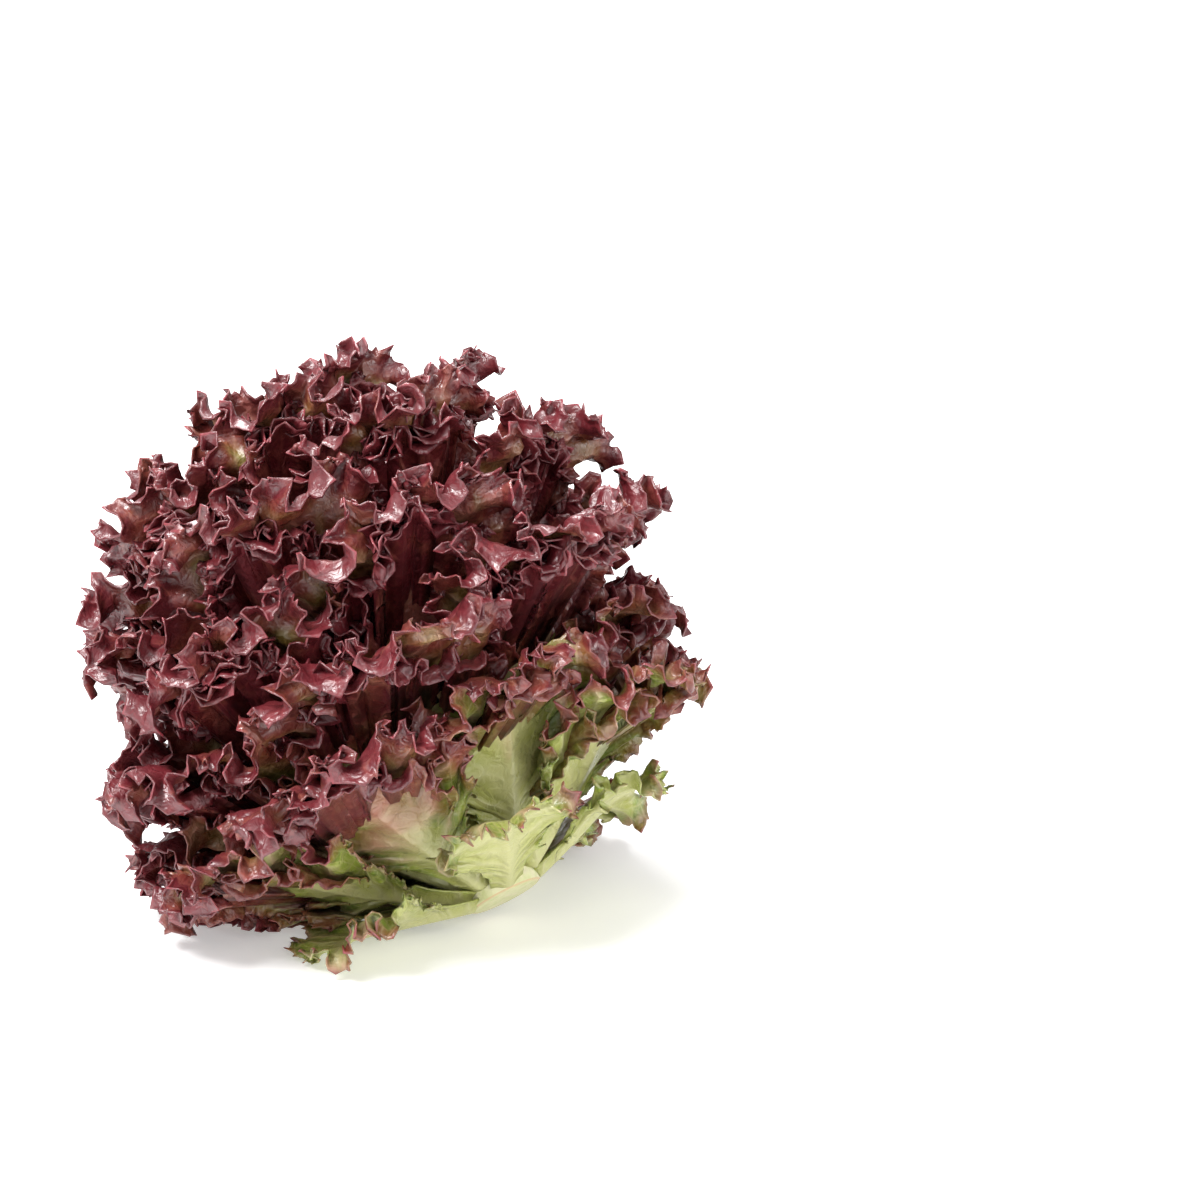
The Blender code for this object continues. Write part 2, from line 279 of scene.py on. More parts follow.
# Colours by redness: skin, veins and the brighter edge line, a painted glow of light through the thin
# margin; and the stump's flesh by noise
SKIN_TONES = (
    (0.00, (0.35, 0.37, 0.085)),
    (0.14, (0.28, 0.34, 0.045)),
    (0.30, (0.165, 0.23, 0.030)),
    (0.46, (0.19, 0.145, 0.024)),
    (0.62, (0.19, 0.078, 0.022)),
    (0.78, (0.175, 0.032, 0.021)),
    (1.00, (0.115, 0.012, 0.017)),
)
VEIN_TONES = (
    (0.00, (0.49, 0.48, 0.22)),
    (0.24, (0.53, 0.42, 0.23)),
    (0.42, (0.48, 0.30, 0.19)),
    (0.62, (0.33, 0.12, 0.085)),
    (1.00, (0.19, 0.026, 0.032)),
)
VEIN_COVER = 0.9
# The edge's line: a painted glow of light shining through the thin margin, and how strongly it covers
EDGE_GLOW_TONES = ((0.30, (0.40, 0.42, 0.12)), (0.55, (0.32, 0.045, 0.060)))
EDGE_GLOW_COVER = 0.75
STEM_TONES = (
    (0.30, (0.70, 0.66, 0.44)),
    (0.55, (0.62, 0.62, 0.34)),
    (0.75, (0.52, 0.55, 0.24)),
)
RIM_TONE = (0.60, 0.40, 0.22)
# Sheen and fine bumps
LEAF_SHEEN_SIZE = 0.007
LEAF_ROUGHNESS = (0.40, 0.17)
LEAF_SPECULAR = 0.90
LEAF_BUMP_SIZE = 0.0046
LEAF_BUMP_DEPTH = 0.0020
VEIN_BUMP = 0.8
STEM_TONE_SIZE = 0.004
STEM_ROUGHNESS = 0.45
STEM_BUMP_SIZE = 0.0025
STEM_BUMP_DEPTH = 0.0008
BUMP_STRENGTH = 0.6

UP_SIDE = (Vector((0, 0, 1)) - AXIS * AXIS.z).normalized()
FAR_SIDE = AXIS.cross(UP_SIDE)
HEAD_TURN = Matrix((UP_SIDE, FAR_SIDE, AXIS)).transposed()
CUT_CENTRE = np.array((0.0, 0.0, BUTT_HEIGHT))

# The view, in metres: scale of the picture and where its centre is from the cut face
PICTURE_WIDTH = 0.420
CENTRE_RIGHT = 0.0333
CENTRE_UP = 0.1033
CAMERA_RISE = 18.0
CAMERA_DISTANCE = 1.75
SENSOR = 36.0
CAMERA_RANGE = (0.05, 50.0)

# The studio: surface, surrounding light, and lamps as place, size and power
FLOOR_SIZE = 12.0
FLOOR_TONE = (0.80, 0.80, 0.80, 1.0)
FLOOR_ROUGHNESS = 0.7
FLOOR_GLOW = 0.32
WHITE = (1.0, 1.0, 1.0, 1.0)
WORLD_LIGHT = 0.72
LIGHT_TARGET = (0.0, 0.0, 0.08)
LAMPS = {
    "key": ((-0.6, -0.6, 1.3), 0.6, 34.0),
    "fill": ((1.1, -0.9, 0.8), 0.7, 8.0),
    "back": ((-0.3, 1.0, 1.3), 0.6, 26.0),
}


def core_distance(polar):
    """Distance from the cut face's centre to the core's surface at a polar angle in radians."""
    return 1.0 / np.sqrt((np.sin(polar) / CORE_RADIUS) ** 2 + (np.cos(polar) / CORE_HEIGHT) ** 2)


def smooth_step(low, high, value):
    """From 0 at the low value to 1 at the high one, level at both ends."""
    share = np.clip((value - low) / (high - low), 0.0, 1.0)
    return share * share * (3.0 - 2.0 * share)


def press(height, top, floor):
    """Lift heights under the top smoothly, so that what would sink lies flat on the floor."""
    room = top - floor
    pressed = floor + room * np.exp((np.minimum(height, top) - top) / room)
    return np.where(height < top, pressed, height)


def from_cut(points):
    """Distances of points from the cut face's centre."""
    return np.linalg.norm(points - CUT_CENTRE, axis=1)


def unit(vectors):
    """Vectors made one long."""
    lengths = np.linalg.norm(vectors, axis=1, keepdims=True)
    return vectors / np.maximum(lengths, 1e-12)


class Leaf:
    """One leaf: the outline, waves and place that its solid has, and the fine frill on them."""

    def __init__(
        self, name, azimuth, polar, reach, half_width, droop, widest, root_width, wave_angle, seed
    ):
        self.name = name
        self.azimuth = math.radians(azimuth)
        self.polar = math.radians(polar)
        self.reach = reach
        self.half_width = half_width
        self.droop = math.radians(droop)
        self.widest = math.radians(widest)
        self.root_width = root_width
        self.wave_angle = math.radians(wave_angle)
        draw = random.Random(seed)
        clear = ROOT_CLEARANCE * RIB_THICKNESS / float(core_distance(self.root_polar()))
        self.root = float(core_distance(self.root_polar() - clear)) + ROOT_GAP
        self.length = reach - self.root
        self.trace_outline()
        ruffled = 2.0 * self.side * (1.0 - PLAIN_SHARE)
        self.waves = max(LEAST_WAVES, round(ruffled / WAVE_LENGTH))
        self.phase = draw.uniform(0.0, 2.0 * math.pi)
        self.sway = [draw.uniform(0.0, 2.0 * math.pi) for _ in range(3)]
        fine = random.Random(seed + FINE_SEED)
        self.calm = SHORT_LEAF_CALM if reach < SHORT_REACH else (CALM_START, CALM_END)
        self.lobes = self.waves * LOBES_PER_WAVE
        self.teeth = self.lobes * TEETH_PER_LOBE
        self.lobe_phase = [fine.uniform(0.0, 2.0 * math.pi) for _ in range(6)]
        self.lobe_bays = np.array([fine.uniform(*LOBE_BAY_SIZES) for _ in range(self.lobes + 2)])
        self.tooth_bays = np.array([fine.uniform(*TOOTH_BAY_SIZES) for _ in range(self.teeth + 2)])

    def root_polar(self):
        """Polar angle at which the leaf leaves the core."""
        return self.polar + math.radians(ROOT_SPREAD) * math.sin(2.0 * self.polar)

    def trace_outline(self):
        """Half outline from the tip down to the root corner, by its length along the edge."""
        along = np.linspace(0.0, 1.0, OUTLINE_SAMPLES)
        widen = smooth_step(WIDEN_START, SHOULDER_SHARE, along) ** WIDEN_POWER
        width = self.root_width + (self.half_width - self.root_width) * widen
        top = np.clip((along - SHOULDER_SHARE) / (1.0 - SHOULDER_SHARE), 0.0, 1.0)
        width = width * np.sqrt(np.maximum(1.0 - top ** TOP_POWER, 0.0))
        self.outline_x = width[::-1]
        self.outline_y = (along * self.length)[::-1]
        steps = np.hypot(np.diff(self.outline_x), np.diff(self.outline_y))
        run = np.concatenate(([0.0], np.cumsum(steps)))
        self.side = float(run[-1])
        self.outline_q = run / run[-1]
        start = np.clip(self.outline_y - VEIN_SLOPE * self.outline_x, 0.0, SPINE_END * self.length)
        self.spine_y = np.minimum.accumulate(start)

    def edge(self, theta):
        """Edge point, spine point and their distance at an edge parameter."""
        q = np.abs(theta)
        edge_x = np.interp(q, self.outline_q, self.outline_x) * np.sign(theta)
        edge_y = np.interp(q, self.outline_q, self.outline_y)
        spine = np.interp(q, self.outline_q, self.spine_y)
        return edge_x, edge_y, spine, np.maximum(np.hypot(edge_x, edge_y - spine), LEAST_STRETCH)

    def turn(self, theta):
        """Phase of the main wave at an edge parameter, and how strong the frill is there."""
        q = np.abs(theta)
        strength = 1.0 - smooth_step(CALM_START, CALM_END, q)
        turn = math.pi * self.waves * theta / (1.0 - PLAIN_SHARE) + self.phase
        return turn + DRIFT * np.sin(DRIFT_TURNS * math.pi * theta + self.sway[0]), strength

    def liveliness(self, theta):
        """How strong the fine frill is at an edge parameter."""
        return 1.0 - smooth_step(*self.calm, np.abs(theta))

    def place(self, across, along, wave):
        """Point in the head's frame of a flat point that the main wave lifts."""
        distance = self.root + along
        spread = math.radians(ROOT_SPREAD) * np.exp(-(distance - CORE_RADIUS) / ROOT_SPREAD_LENGTH)
        share = distance / self.reach
        opening = np.clip((share - FLARE_START) / (1 - FLARE_START), 0, FLARE_LIMIT) ** 2
        bend = math.sin(2.0 * self.polar)
        polar = self.polar + spread * bend + math.radians(TIP_FLARE) * opening * bend ** FLARE_POWER
        polar = polar + self.droop * share ** 2
        turn = across / (distance * math.sin(self.polar) * self.widest)
        azimuth = self.azimuth + self.widest * np.tanh(turn)
        fold = np.sin(FOLD_COUNT * azimuth + distance / FOLD_PITCH)
        folded = fold * smooth_step(CORE_HEIGHT, DOME_REACH, distance) * bend
        polar = polar + math.radians(FOLD_ANGLE) * folded
        polar = polar + self.wave_angle * wave * (1.0 + EDGE_WAVE_GAIN * opening)
        under = ((1.0 - np.cos(azimuth)) / 2.0) ** 2
        under = under * smooth_step(CORE_HEIGHT, SQUEEZE_LENGTH, distance)
        polar = polar * (1.0 - UNDERSIDE_SQUEEZE * under)
        outward = np.sin(polar) * distance
        upward = np.cos(polar) * distance
        points = np.outer(upward, AXIS)
        points += np.outer(outward * np.cos(azimuth), UP_SIDE)
        points += np.outer(outward * np.sin(azimuth), FAR_SIDE)
        points[:, 2] = press(points[:, 2] + BUTT_HEIGHT, PRESS_TOP, PRESS_FLOOR)
        return points

    def waved(self, theta, share):
        """The solid's own waved sheet, at an edge parameter and a share of the way to the edge."""
        edge_x, edge_y, spine, stretch = self.edge(theta)
        turn, strength = self.turn(theta)
        uneven = 1.0 - UNEVENNESS + UNEVENNESS * np.sin(UNEVEN_TURNS * math.pi * theta + self.sway[1])
        growth = np.cos(2.0 * turn + self.sway[2]) * strength
        growth = growth * np.clip(share, 0.0, LOBE_LIMIT) ** LOBE_POWER
        reach_share = share + LOBE_DEPTH * growth / stretch
        across = edge_x * reach_share
        along = spine + (edge_y - spine) * reach_share
        return self.place(across, along, np.sin(turn) * uneven * strength * share)

    def fold_line(self, theta):
        """Share of the way to the edge where the frill starts, and the frill's depth."""
        _, _, _, stretch = self.edge(theta)
        depth = np.minimum(FRILL_DEPTH, FRILL_SHARE * stretch)
        return 1.0 - depth / stretch, depth, stretch

    def curled(self, theta, inner, part, length, tilt, phase):
        """Points of a frill of cups that grows out of a line on the waved sheet."""
        turn, _ = self.turn(theta)
        strength = self.liveliness(theta)
        base = self.waved(theta, inner)
        out = unit(self.waved(theta, inner + WAVE_STEP) - self.waved(theta, inner - WAVE_STEP))
        along = unit(self.waved(theta + WAVE_STEP, inner) - self.waved(theta - WAVE_STEP, inner))
        side = unit(np.cross(out, along))
        side *= self.outward_sign(base, side)[:, None]
        ahead_way = out * np.cos(tilt)[:, None] + side * np.sin(tilt)[:, None]
        aside_way = side * np.cos(tilt)[:, None] - out * np.sin(tilt)[:, None]
        free = self.freedom(base)
        wander = CURL_WANDER * np.sin(CURL_WANDER_TURN * turn + self.lobe_phase[5])
        cup = CURLS_PER_WAVE * turn + phase + wander
        lean = np.sin(cup) + CURL_LEAN * np.sin(CURL_LEAN_TURN * turn + self.lobe_phase[0])
        bend = CURL_BIAS + CURL_SWING * np.tanh(CURL_GAIN * lean)
        loose = COVERED_CURL + (1.0 - COVERED_CURL) * free
        curl = math.radians(CURL_ANGLE) * bend * strength * loose
        curl = np.where(np.abs(curl) < CURL_LEAST, CURL_LEAST, curl)
        ahead = length * np.sin(curl * part) / curl
        aside = length * (1.0 - np.cos(curl * part)) / curl
        swing = WIDEN_CUP * np.cos(cup) + np.sin(2.0 * cup)
        shift = -WIDEN_STEP * swing * strength * free * part ** WIDEN_RISE
        return base + ahead_way * ahead[:, None] + aside_way * aside[:, None] + along * shift[:, None]

    def freedom(self, points):
        """0 where other leaves cover this one's margin, and 1 near its top."""
        return smooth_step(FREE_START, FREE_END, from_cut(points) / self.reach)

    def frilled(self, theta, share):
        """The waved sheet with its margin curled over in cups, one beside another."""
        strength = self.liveliness(theta)
        fold, depth, stretch = self.fold_line(theta)
        part = np.maximum(share - fold, 0.0) * stretch / depth
        length = depth + FRILL_GROWTH * strength
        flat = np.zeros(len(theta))
        return self.curled(theta, np.minimum(share, fold), part, length, flat, MARGIN_PHASE), part

    def folded(self, theta, part, inset):
        """A frill that stands out of the leaf's outer face, an inset below its margin."""
        fold, _, stretch = self.fold_line(theta)
        inner = np.maximum(fold - inset / stretch, FOLDED_LEAST_SHARE)
        ends = 1.0 - smooth_step(FOLDED_START, FOLDED_END, np.abs(theta))
        length = FOLDED_DEPTH * (FOLDED_LEAST + (1.0 - FOLDED_LEAST) * ends)
        tilt = np.full(len(theta), math.radians(FOLDED_TILT))
        start = FOLDED_SINK / length
        phase = FOLDED_PHASE + FOLDED_PHASE_STEP * inset
        return self.curled(theta, inner, part * (1.0 + start) - start, length, tilt, phase), part

    def outward_sign(self, points, side):
        """1 where a normal points away from the head's axis, and -1 where it points to it."""
        axis = np.array(AXIS)
        relative = points - CUT_CENTRE
        radial = relative - np.outer(relative @ axis, axis)
        away = np.einsum("ij,ij->i", side, unit(radial) - AXIS_WEIGHT * axis)
        return np.where(away < 0.0, -1.0, 1.0)

    def bay(self, theta):
        """How far the margin is cut back between its teeth and between its lobes."""
        ruffled = np.clip((theta / (1.0 - PLAIN_SHARE) + 1.0) / 2.0, 0.0, 1.0)
        strength = self.liveliness(theta)
        cut = np.zeros(len(theta))
        for count, depth, sizes in (
            (self.lobes, LOBE_BAY, self.lobe_bays), (self.teeth, TOOTH_BAY, self.tooth_bays)
        ):
            place = ruffled * count
            number = np.floor(place + ROUNDING).astype(int)
            inside = 2.0 * (place - number) - 1.0
            cut += depth * sizes[number] * np.maximum(1.0 - inside ** 2, 0.0)
        return cut * strength

    def rippled(self, form, theta, place):
        """A frill's points with the lobes' ripple on it, along its normals."""
        points, part = form(theta, place)
        along = form(theta + RIPPLE_STEP, place)[0] - form(theta - RIPPLE_STEP, place)[0]
        out = form(theta, place + RIPPLE_SHARE_STEP)[0] - form(theta, place - RIPPLE_SHARE_STEP)[0]
        normal = unit(np.cross(out, along))
        turn, _ = self.turn(theta)
        strength = self.liveliness(theta)
        drift = LOBE_DRIFT * np.sin(turn + self.lobe_phase[2])
        ripple = np.sin(LOBES_PER_WAVE * turn + self.lobe_phase[1] + drift)
        finer = np.sin(2.0 * LOBES_PER_WAVE * turn + self.lobe_phase[3])
        ripple = ripple + LOBE_FINE_WAVE * finer
        loose = COVERED_RIPPLE + (1.0 - COVERED_RIPPLE) * self.freedom(points)
        lift = LOBE_WAVE * ripple * strength * loose * np.maximum(part, 0.0) ** LOBE_RISE
        return points + normal * lift[:, None], part

    def rib(self, theta, share):
        """Height of the midrib on the outer face, from 0 to 1."""
        _, _, spine, stretch = self.edge(theta)
        taper = 1.0 - RIB_TAPER * spine / (SPINE_END * self.length)
        width = RIB_WIDTH * (RIB_LEAST_WIDTH + (1.0 - RIB_LEAST_WIDTH) * taper)
        return np.exp(-(share * stretch / width) ** 2) * taper

    def ring_thetas(self, count):
        """Edge parameters of a row's points, with a count of steps in its ruffled part."""
        ruffled = 1.0 - PLAIN_SHARE
        root_side = np.linspace(1.0, ruffled, ROOT_COLUMNS)
        middle = np.linspace(-ruffled, ruffled, count + 1)
        return np.concatenate((-root_side[:-1], middle, root_side[-2::-1]))

    def sheet(self):
        """Points, triangles and per-point places of the middle sheet, row by row from the spine."""
        columns = self.teeth * COLUMNS_PER_TOOTH
        spine_shares = np.linspace(0.0, SPINE_END, SPINE_POINTS)
        half = -np.interp(-spine_shares * self.length, -self.spine_y, self.outline_q)
        half[0] = -1.0
        thetas = [half]
        shares = [np.zeros(len(half))]
        parts = [np.zeros(len(half))]
        row_index = list(range(len(half))) + list(range(len(half) - 2, -1, -1))
        row_theta = np.concatenate((half, -half[-2::-1]))
        total = len(half)
        faces = []
        rows = [(row, 0.0, span) for group, span in BLADE_ROWS for row in group]
        rows += [(1.0, row, span) for group, span in FRILL_ROWS for row in group]
        for before, beyond, span in rows:
            theta = self.ring_thetas(columns // span)
            fold, _, _ = self.fold_line(theta)
            shares.append(before * fold + beyond * (1.0 - fold))
            parts.append(np.full(len(theta), beyond))
            thetas.append(theta)
            index = list(range(total, total + len(theta)))
            faces += zip_rings(row_index, row_theta, index, theta)
            row_index = index
            row_theta = theta
            total += len(theta)
        theta = np.concatenate(thetas)
        share = np.concatenate(shares)
        _, depth, stretch = self.fold_line(theta)
        cut = self.bay(theta) * np.concatenate(parts) ** 2
        share = share - np.minimum(cut, DEEPEST_BAY * depth) / stretch
        points, part = self.rippled(self.frilled, theta, share)
        return points, np.array(faces), theta, share, part

    def folded_sheet(self, inset, spans):
        """Points, triangles and per-point places of a folded frill's middle sheet."""
        columns = round(self.teeth * COLUMNS_PER_TOOTH * FOLDED_END / (1.0 - PLAIN_SHARE))
        thetas = []
        parts = []
        faces = []
        total = 0
        for row, span in zip(FOLDED_ROWS, spans):
            theta = np.linspace(-FOLDED_END, FOLDED_END, columns // span + 1)
            index = list(range(total, total + len(theta)))
            if thetas:
                faces += zip_rings(row_index, thetas[-1], index, theta)
            thetas.append(theta)
            parts.append(np.full(len(theta), row))
            row_index = index
            total += len(theta)
        theta = np.concatenate(thetas)
        part = np.concatenate(parts)
        ends = 1.0 - smooth_step(FOLDED_START, FOLDED_END, np.abs(theta))
        part = part - self.bay(theta) * ends * part ** 2 / FOLDED_DEPTH
        points, part = self.rippled(lambda *place: self.folded(*place, inset), theta, part)
        return points, np.array(faces), theta, np.ones(len(theta)), np.maximum(part, 0.0)


def zip_rings(inner, inner_theta, outer, outer_theta):
    """Triangles of the strip between two rings whose points lie at unlike edge parameters."""
    faces = []
    i = j = 0
    while i < len(inner) - 1 or j < len(outer) - 1:
        step_inner = i < len(inner) - 1
        if step_inner and j < len(outer) - 1:
            next_inner = inner_theta[i + 1] + inner_theta[i]
            step_inner = next_inner < outer_theta[j + 1] + outer_theta[j]
        if step_inner:
            faces.append((inner[i], inner[i + 1], outer[j]))
            i += 1
        else:
            faces.append((inner[i], outer[j + 1], outer[j]))
            j += 1
    return faces


def spiral_leaf(number):
    """A leaf of the dome, by the golden angle: the higher its number, the nearer the axis."""
    share = number / (SPIRAL_LEAVES - 1)
    polar = SPIRAL_OUTER + (SPIRAL_INNER - SPIRAL_OUTER) * share
    azimuth = SPIRAL_START + GOLDEN_ANGLE * number
    flare = TIP_FLARE * math.sin(math.radians(2.0 * polar)) ** FLARE_POWER
    reach = DOME_REACH * math.cos(math.radians(polar + flare)) ** DOME_POWER
    widest = HALF_ANGLE + (HEART_HALF_ANGLE - HALF_ANGLE) * share ** 2
    room = reach * math.sin(math.radians(polar)) * math.radians(widest)
    half_width = min(SPIRAL_HALF_WIDTH, SPIRAL_FILL * room)
    wave_angle = DOME_WAVE_ANGLE + (HEART_WAVE_ANGLE - DOME_WAVE_ANGLE) * share
    name = f"leaf_dome_{number + 1:02d}"
    return name, azimuth, polar, reach, half_width, 0.0, widest, DOME_ROOT_HALF_WIDTH, wave_angle


def value_noise(points, size, seed):
    """Smooth noise from -1 to 1 at points, with cells of a given size."""
    table = np.random.default_rng(seed).uniform(-1.0, 1.0, NOISE_TABLE)
    cell = points / size
    base = np.floor(cell).astype(np.int64)
    part = cell - base
    part = part * part * (3.0 - 2.0 * part)
    total = np.zeros(len(points))
    for x in (0, 1):
        for y in (0, 1):
            for z in (0, 1):
                corner = base + (x, y, z)
                key = np.bitwise_xor.reduce(corner * NOISE_PRIMES, axis=1)
                weight = np.where(x, part[:, 0], 1.0 - part[:, 0])
                weight = weight * np.where(y, part[:, 1], 1.0 - part[:, 1])
                weight = weight * np.where(z, part[:, 2], 1.0 - part[:, 2])
                total += weight * table[key % NOISE_TABLE]
    return total


def layered_noise(points, coarse, fine, seed):
    """Noise in coarse cells, with weaker noise in fine ones."""
    return value_noise(points, coarse, seed) + FINE_WEIGHT * value_noise(points, fine, seed + 1)


def point_normals(points, faces):
    """Unit normals at points, weighted by the areas of the faces round them."""
    corners = points[faces]
    flat = np.cross(corners[:, 1] - corners[:, 0], corners[:, 2] - corners[:, 0])
    normals = np.zeros_like(points)
    for column in range(3):
        np.add.at(normals, faces[:, column], flat)
    return unit(normals)


def crumple(leaf, points, share, theta, part, off_rib):
    """How far the blade is pushed out between its veins, in cushions, creases and wrinkles."""
    distance = from_cut(points)
    _, strength = leaf.turn(theta)
    calm = smooth_step(*SPINE_CALM, share) * smooth_step(*ROOT_CALM, 1.0 - np.abs(theta))
    blister = layered_noise(points, BLISTER_SIZE, BLISTER_SIZE / BLISTER_FINER, BLISTER_SEED)
    crease = 1.0 - CRUMPLE_CREASE * np.abs(value_noise(points, CRUMPLE_SIZE, CRUMPLE_SEED))
    finer = value_noise(points, CRUMPLE_SIZE / CRUMPLE_FINER, CRUMPLE_SEED + 1)
    crease = crease + FINE_WEIGHT * finer
    wrinkle = layered_noise(points, WRINKLE_SIZE, WRINKLE_SIZE / WRINKLE_FINER, WRINKLE_SEED)
    high = smooth_step(CRUMPLE_START, CRUMPLE_END, distance)
    depth = CRUMPLE_SLOPE * distance * high * strength * (1.0 - CRUMPLE_FRILL_LOSS * part)
    lift = BLISTER_HEIGHT * blister + depth * crease + WRINKLE_HEIGHT * wrinkle * high
    return calm * off_rib * lift


def blade_body(leaf, sheet, rib):
    """Points, triangles and material values of one sheet made into a closed thin body."""
    points, faces, theta, share, part = sheet
    normals = point_normals(points, faces)
    if np.median(leaf.outward_sign(points, normals)) < 0:
        faces = faces[:, ::-1]
        normals = -normals
    lift = crumple(leaf, points, share, theta, part, 1.0 - rib)
    points = points + normals * lift[:, None]
    normals = point_normals(points, faces)
    outer = points + normals * (BLADE_HALF + RIB_HEIGHT * rib)[:, None]
    inner = points - normals * (BLADE_HALF + RIB_INNER_HEIGHT * RIB_HEIGHT * rib)[:, None]
    count = len(points)
    ends = boundary_loop(faces)
    following = np.roll(ends, -1)
    rim_a = np.stack((ends, following + count, following), axis=1)
    rim_b = np.stack((ends, ends + count, following + count), axis=1)
    triangles = np.concatenate((faces, faces[:, ::-1] + count, rim_a, rim_b))
    red = redness(leaf, points, part)
    outer_red = red - OUTER_FACE_GREEN * (1.0 - OUTER_FRILL_LOSS * part)
    # Band at the edge that carries the painted glow of light through the thin margin
    margin = smooth_step(*EDGE_GLOW_BAND, part)
    values = {
        "redness": np.concatenate((outer_red, red)),
        "midrib": np.tile(np.clip(rib, 0.0, 1.0), 2),
        "margin": np.tile(margin, 2),
        "side_turn": np.tile(np.abs(theta), 2),
        "reach_share": np.tile(share, 2),
        "breadth": np.tile(share * leaf.side, 2),
    }
    return np.concatenate((outer, inner)), triangles, values


def leaf_mesh(leaf, shift):
    """Mesh of one leaf: its blade and the frills folded out of it."""
    sheet = leaf.sheet()
    bodies = [blade_body(leaf, sheet, leaf.rib(sheet[2], sheet[3]))]
    for least_reach, inset, spans in FOLDS:
        if leaf.reach > least_reach:
            sheet = leaf.folded_sheet(inset, spans)
            bodies.append(blade_body(leaf, sheet, np.zeros(len(sheet[0]))))
    triangles = []
    count = 0
    for points, faces, _ in bodies:
        triangles.append(faces + count)
        count += len(points)
    triangles = np.concatenate(triangles)
    every = np.concatenate([body[0] for body in bodies]) + np.array(shift)
    every[:, 2] = press(every[:, 2], FLOOR_ROOM, FLOOR_GAP)
    mesh = bpy.data.meshes.new(leaf.name + "_blade")
    mesh.vertices.add(len(every))
    mesh.vertices.foreach_set("co", every.astype(np.float32).ravel())
    mesh.loops.add(3 * len(triangles))
    mesh.loops.foreach_set("vertex_index", triangles.astype(np.int32).ravel())
    mesh.polygons.add(len(triangles))
    mesh.polygons.foreach_set("loop_start", np.arange(0, 3 * len(triangles), 3, dtype=np.int32))
    mesh.update(calc_edges=True)
    mesh.validate()
    mesh.shade_smooth()
    for name in bodies[0][2]:
        layer = mesh.attributes.new(name, "FLOAT", "POINT")
        values = np.concatenate([body[2][name] for body in bodies])
        layer.data.foreach_set("value", values.astype(np.float32))
    return mesh


def boundary_loop(faces):
    """Point numbers round the open edge of a sheet, in the order of its faces."""
    edges = np.concatenate((faces[:, (0, 1)], faces[:, (1, 2)], faces[:, (2, 0)]))
    known = {(int(a), int(b)) for a, b in edges}
    following = {a: b for a, b in known if (b, a) not in known}
    start = min(following)
    loop = [start]
    while following[loop[-1]] != start:
        loop.append(following[loop[-1]])
    return np.array(loop)


def redness(leaf, points, part):
    """From 0 at the pale root to 1 on the frills of long leaves."""
    distance = from_cut(points)
    patch = layered_noise(points, *PATCH_SIZES, PATCH_SEED)
    reach = smooth_step(RED_START, RED_END, distance + PATCH_SHIFT * patch)
    red = REACH_RED * reach + FRILL_RED * part + PATCH_RED * patch * reach
    short = 1.0 - smooth_step(*SHORT_GREEN_REACH, leaf.reach)
    tint = LEAF_TINTS.get(leaf.name, 0.0) * smooth_step(*TINT_DISTANCE, distance) * (1.0 - part ** 2)
    return np.clip(red - SHORT_LEAF_GREEN * short * (1.0 - part ** 3) + tint, 0.0, MOST_RED)


def node(tree, kind, **settings):
    """A new node of a kind, with its properties set."""
    made = tree.nodes.new(kind)
    for name, value in settings.items():
        setattr(made, name, value)
    return made


def new_material(name):
    """A material, its node tree and its main shader."""
    material = bpy.data.materials.new(name)
    material.use_nodes = True
    return material, material.node_tree, material.node_tree.nodes["Principled BSDF"]


def read_value(tree, name):
    """The value that a mesh stores by this name at each point."""
    return node(tree, "ShaderNodeAttribute", attribute_name=name).outputs["Fac"]


def math_node(tree, operation, first, second=None, third=None):
    """A sum on numbers or on other nodes' outputs."""
    made = node(tree, "ShaderNodeMath", operation=operation)
    for socket, value in zip(made.inputs, (first, second, third)):
        if value is None:
            continue
        if isinstance(value, (int, float)):
            socket.default_value = value
        else:
            tree.links.new(value, socket)
    return made.outputs[0]


def noise_node(tree, size, detail=3.0, distortion=0.0):
    """Noise over object coordinates with features of about a size in metres."""
    where = node(tree, "ShaderNodeTexCoord").outputs["Object"]
    made = node(tree, "ShaderNodeTexNoise")
    made.inputs["Scale"].default_value = 1.0 / size
    made.inputs["Detail"].default_value = detail
    made.inputs["Distortion"].default_value = distortion
    tree.links.new(where, made.inputs["Vector"])
    return made.outputs["Fac"]


def mix_colour(tree, share, first, second):
    """A mix of two colours, each a tuple or another node's output."""
    made = node(tree, "ShaderNodeMix", data_type="RGBA")
    for socket, value in ((made.inputs[0], share), (made.inputs[6], first), (made.inputs[7], second)):
        if isinstance(value, (int, float)):
            socket.default_value = value
        elif isinstance(value, tuple):
            socket.default_value = (*value, 1.0)
        else:
            tree.links.new(value, socket)
    return made.outputs[2]


def ramp(tree, value, stops):
    """A colour by a value, between stops given as position and colour."""
    made = node(tree, "ShaderNodeValToRGB")
    elements = made.color_ramp.elements
    while len(elements) < len(stops):
        elements.new(0.5)
    for element, (position, colour) in zip(elements, stops):
        element.position = position
        element.color = (*colour, 1.0)
    tree.links.new(value, made.inputs["Fac"])
    return made.outputs["Color"]


